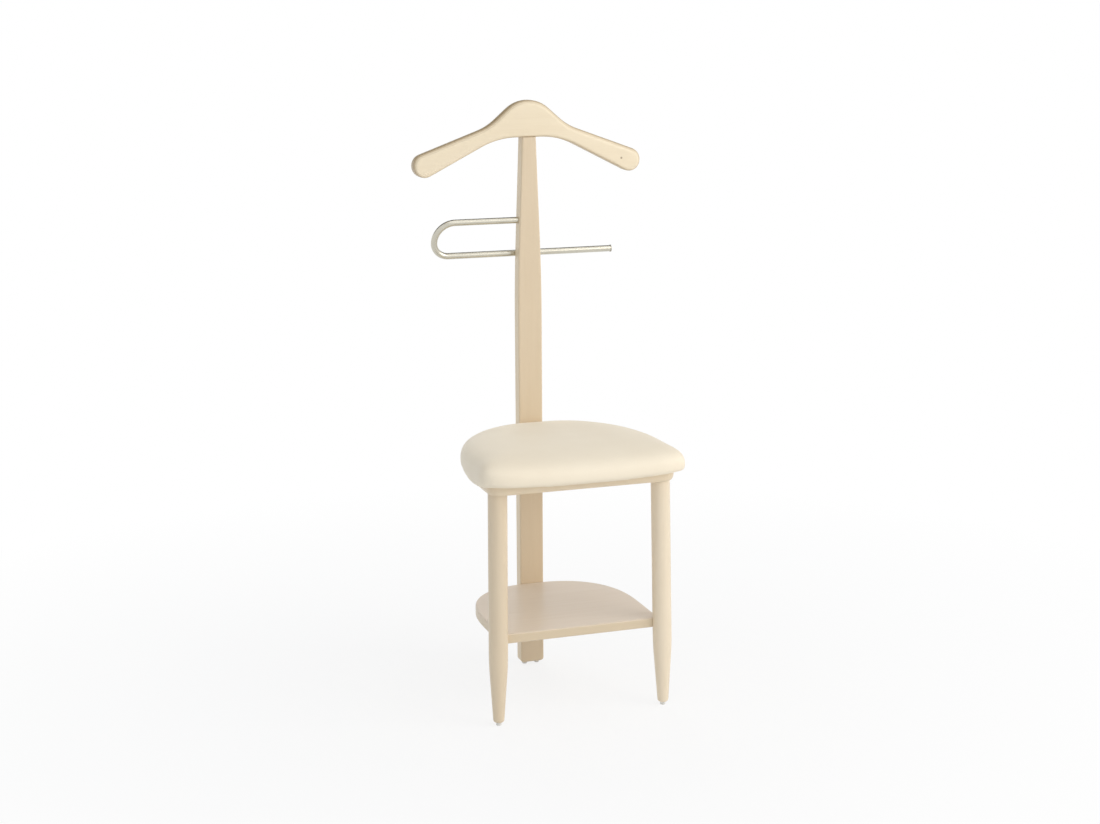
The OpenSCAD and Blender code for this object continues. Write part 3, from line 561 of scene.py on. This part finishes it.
def pad_rings(by, count):
    """The cushion's rings from its foot to its crown, drawn in by a length."""
    turns = [2 * math.pi * (i + 0.5) / count for i in range(count)]
    belly = [PAD_PLAN.drawn_in(by).point(t) for t in turns]
    foot = [FOOT_PLAN.point(t) for t in turns]
    under = [under_ring(belly, foot, by, degrees) for degrees in UNDER_ANGLES]
    over = [over_ring(belly, degrees) for degrees in OVER_ANGLES]
    return under + over


def skin(name, rings):
    """A closed mesh through rings of equally many points."""
    mesh = bpy.data.meshes.new(name)
    form = bmesh.new()
    rows = [[form.verts.new(p) for p in ring] for ring in rings]
    count = len(rows[0])
    for low, high in zip(rows, rows[1:]):
        for i in range(count):
            j = (i + 1) % count
            form.faces.new((low[i], low[j], high[j], high[i]))
    form.faces.new(list(reversed(rows[0])))
    form.faces.new(rows[-1])
    form.to_mesh(mesh)
    form.free()
    obj = bpy.data.objects.new(name, mesh)
    scene.collection.objects.link(obj)
    return obj


def over_board(point):
    """Whether a point lies over the seat board, and not beside it where the cushion hangs."""
    side = max(0, abs(point.x) - BOARD_HALF + BOARD_CORNER)
    forward = max(0, BOARD_FRONT + BOARD_CORNER - point.y)
    return math.hypot(side, forward) < BOARD_CORNER


def apply_modifiers(obj):
    graph = bpy.context.evaluated_depsgraph_get()
    mesh = bpy.data.meshes.new_from_object(obj.evaluated_get(graph))
    obj.modifiers.clear()
    obj.data = mesh


def evened(mesh, values, rounds):
    """The values at a mesh's points, spread evenly over their neighbours."""
    for _ in range(rounds):
        sums = list(values)
        counts = [1] * len(values)
        for edge in mesh.edges:
            a, b = edge.vertices
            sums[a] += values[b]
            sums[b] += values[a]
            counts[a] += 1
            counts[b] += 1
        values = [total / count for total, count in zip(sums, counts)]
    return values


def cloth_form(obj, held):
    """Where pressure inside the skin takes its points, with the points held left in place."""
    group = obj.vertex_groups.new(name="held")
    group.add(held, 1, "REPLACE")
    cloth = obj.modifiers.new("Swell", "CLOTH")
    cloth.settings.quality = 5
    cloth.settings.mass = 0.3
    cloth.settings.tension_stiffness = 5
    cloth.settings.compression_stiffness = 5
    cloth.settings.bending_stiffness = 2
    cloth.settings.use_pressure = True
    cloth.settings.uniform_pressure_force = SWELL_PRESSURE
    cloth.settings.vertex_group_mass = group.name
    cloth.settings.effector_weights.gravity = 0
    cloth.point_cache.frame_start = 1
    cloth.point_cache.frame_end = SWELL_FRAMES
    for number in range(1, SWELL_FRAMES + 1):
        scene.frame_set(number)
    graph = bpy.context.evaluated_depsgraph_get()
    moved = [v.co.copy() for v in obj.evaluated_get(graph).data.vertices]
    obj.modifiers.clear()
    scene.frame_set(1)
    return moved


def swell(obj, cap):
    """Rounds the skin as a stuffed cover. What rests on the board stays, and the rest moves
    outwards, no further than cap."""
    points = obj.data.vertices
    start = [v.co.copy() for v in points]
    outward = [v.normal.copy() for v in points]
    low = SEAT_TOP + HELD_HEIGHT
    moved = cloth_form(obj, [v.index for v in points if v.co.z < low and over_board(v.co)])
    steps = [min(max((new - old).dot(normal), 0), cap)
             for old, new, normal in zip(start, moved, outward)]
    steps = evened(obj.data, steps, EVENING_ROUNDS)
    for vertex, old, normal, step in zip(points, start, outward, steps):
        vertex.co = old + normal * step


def make_cushion():
    pad = skin("cushion", pad_rings(DRAWN_IN, RING_POINTS))
    remesh = pad.modifiers.new("Even", "REMESH")
    remesh.mode = "VOXEL"
    remesh.voxel_size = VOXEL
    remesh.use_smooth_shade = True
    apply_modifiers(pad)
    swell(pad, SWELL_CAP)
    relax = pad.modifiers.new("Relax", "SMOOTH")
    relax.factor = 0.5
    relax.iterations = 2
    finer = pad.modifiers.new("Finer", "SUBSURF")
    finer.levels = 1
    finer.render_levels = 1
    apply_modifiers(pad)
    for vertex in pad.data.vertices:
        if over_board(vertex.co):
            vertex.co.z = max(vertex.co.z, SEAT_TOP + CLEARANCE)
        vertex.co.y = min(vertex.co.y, POST_FRONT - CLEARANCE)
    for polygon in pad.data.polygons:
        polygon.use_smooth = True
    pad.data.materials.clear()
    pad.data.materials.append(LEATHERCLOTH)
    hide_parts("cushion_cover", "cushion_foam")
    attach(pad, "root")


make_cushion()


# ---- Studio

# The floor's glow of plain white, as a share: less near the chair, so that its shadow shows
FLOOR_HALF = 30
SHADOW_RADIUS = 0.45
WHITE_RADIUS = 1.6
SHADOW_GLOW = 0.8

# The flag's half width, and its lower and its upper edge as y and z
FLAG_HALF = 3.5
FLAG_LOW_EDGE = (2.6, 1.6)
FLAG_HIGH_EDGE = (1.9, 5)

# The world's strength on the object
WORLD_BEHIND = 0.5
WORLD_BEFORE = 0.76
WORLD_COLOUR = (0.94, 0.967, 1, 1)

# The photograph's view, as fitted to the chair's straight edges and circles: where the camera
# stands, and in degrees how far it is turned to the right of +Y, tilted up and rolled
CAMERA_AT = (-1.1533, -3.3548, 1.3148)
CAMERA_HEADING = 18.809
CAMERA_TILT = -12.339
CAMERA_ROLL = -0.248
CAMERA_LENS = 64.43
SENSOR_WIDTH = 36


def seen_ray(tree):
    """1 for what the camera sees, straight or in gloss or through glass, 0 for other light."""
    path = tree.nodes.new("ShaderNodeLightPath")
    seen = math_node(tree, "MAXIMUM", path.outputs["Is Camera Ray"], path.outputs["Is Glossy Ray"])
    return math_node(tree, "MAXIMUM", seen, path.outputs["Is Transmission Ray"])


def studio_white(name):
    """A pale floor that is seen as mostly plain white and keeps a faint shadow round the object.
    Away from the object it is all white."""
    material, tree, shader = new_material(name)
    shader.inputs["Base Color"].default_value = (0.9, 0.9, 0.9, 1)
    shader.inputs["Roughness"].default_value = 0.9
    shader.inputs["Specular IOR Level"].default_value = 0.1
    glow = tree.nodes.new("ShaderNodeEmission")
    glow.inputs["Color"].default_value = WHITE
    glow.inputs["Strength"].default_value = 1
    away = tree.nodes.new("ShaderNodeVectorMath")
    away.operation = "LENGTH"
    link(tree, place(tree), away.inputs[0])
    share = spread(tree, away.outputs["Value"], SHADOW_RADIUS, WHITE_RADIUS, SHADOW_GLOW, 1)
    blend = tree.nodes.new("ShaderNodeMixShader")
    link(tree, math_node(tree, "MULTIPLY", seen_ray(tree), share), blend.inputs["Fac"])
    link(tree, shader.outputs["BSDF"], blend.inputs[1])
    link(tree, glow.outputs["Emission"], blend.inputs[2])
    output = next(n for n in tree.nodes if n.type == "OUTPUT_MATERIAL")
    link(tree, blend.outputs["Shader"], output.inputs["Surface"])
    return material


def dark_panel(name):
    material, tree, shader = new_material(name)
    shader.inputs["Base Color"].default_value = (0.03, 0.03, 0.03, 1)
    shader.inputs["Roughness"].default_value = 1
    return material


def four_sided(name, corners, material):
    """One flat face with four corners."""
    mesh = bpy.data.meshes.new(name)
    mesh.from_pydata(corners, [], [(0, 1, 2, 3)])
    mesh.materials.append(material)
    obj = bpy.data.objects.new(name, mesh)
    scene.collection.objects.link(obj)
    return obj


def make_floor():
    far = FLOOR_HALF
    floor = four_sided("floor", [(-far, -far, 0), (far, -far, 0), (far, far, 0), (-far, far, 0)],
                       studio_white("Studio_floor"))


def make_flag():
    """A dark panel high behind the object that only gloss shows: it gives the metal dark edges."""
    flag = four_sided("flag", [(-FLAG_HALF, *FLAG_LOW_EDGE), (FLAG_HALF, *FLAG_LOW_EDGE),
                               (FLAG_HALF, *FLAG_HIGH_EDGE), (-FLAG_HALF, *FLAG_HIGH_EDGE)],
                      dark_panel("Studio_flag"))
    flag.visible_camera = False
    flag.visible_diffuse = False
    flag.visible_shadow = False


def make_world(behind, before, colour):
    """White where it is seen. Elsewhere a soft cool light, weaker from behind than from before."""
    world = bpy.data.worlds.new("Studio")
    scene.world = world
    world.use_nodes = True
    tree = world.node_tree
    tree.nodes.clear()
    seen = seen_ray(tree)
    background = tree.nodes.new("ShaderNodeBackground")
    link(tree, mixed(tree, seen, colour, WHITE), background.inputs["Color"])
    coords = tree.nodes.new("ShaderNodeTexCoord")
    depth = tree.nodes.new("ShaderNodeSeparateXYZ")
    link(tree, coords.outputs["Generated"], depth.inputs["Vector"])
    light = spread(tree, depth.outputs["Y"], -1, 1, before, behind)
    unseen = math_node(tree, "MULTIPLY", math_node(tree, "SUBTRACT", 1, seen), light)
    link(tree, math_node(tree, "ADD", seen, unseen), background.inputs["Strength"])
    output = tree.nodes.new("ShaderNodeOutputWorld")
    link(tree, background.outputs["Background"], output.inputs["Surface"])


def area_light(name, stand, aim, width, height, watts, colour):
    """A soft lamp that stands at one point and looks at another."""
    data = bpy.data.lights.new(name, "AREA")
    data.shape = "RECTANGLE"
    data.size, data.size_y = width, height
    data.energy = watts
    data.color = colour
    lamp = bpy.data.objects.new(name, data)
    lamp.location = stand
    lamp.rotation_mode = "QUATERNION"
    lamp.rotation_quaternion = (Vector(aim) - Vector(stand)).to_track_quat("-Z", "Y")
    scene.collection.objects.link(lamp)
    return lamp


def make_lamps():
    """A warm key from the right, with weak lamps above, behind and in front. Gloss doesn't show
    the lamp behind, which would stand as a bright patch on the shelf."""
    area_light("Key", (2.1, -1.9, 1.75), aim=(0, 0, 0.6), width=2.0, height=2.0, watts=33,
               colour=(1, 0.94, 0.86))
    area_light("Top", (0.3, -0.7, 3.3), aim=(0, 0, 0.4), width=2.2, height=2.2, watts=8,
               colour=(0.96, 0.98, 1))
    back = area_light("Back", (0.35, 3.0, 1.0), aim=(0, 0, 0.7), width=1.6, height=2.0, watts=22,
                      colour=(1, 0.98, 0.95))
    back.visible_glossy = False
    area_light("Front", (0.9, -2.9, 2.1), aim=(0, 0, 0.7), width=1.8, height=1.8, watts=5,
               colour=(1, 0.97, 0.93))


def turned(degrees, axis):
    return Matrix.Rotation(math.radians(degrees), 4, axis)


def make_camera():
    data = bpy.data.cameras.new("camera")
    data.sensor_fit = "HORIZONTAL"
    data.sensor_width = SENSOR_WIDTH
    data.lens = CAMERA_LENS
    data.clip_start, data.clip_end = 0.1, 100
    camera = bpy.data.objects.new("camera", data)
    camera.matrix_world = (Matrix.Translation(CAMERA_AT) @ turned(-CAMERA_HEADING, "Z")
                           @ turned(90 + CAMERA_TILT, "X") @ turned(CAMERA_ROLL, "Z"))
    scene.collection.objects.link(camera)
    scene.camera = camera


make_floor()
make_flag()
make_world(WORLD_BEHIND, WORLD_BEFORE, WORLD_COLOUR)
make_lamps()
make_camera()

scene.view_settings.view_transform = "Standard"
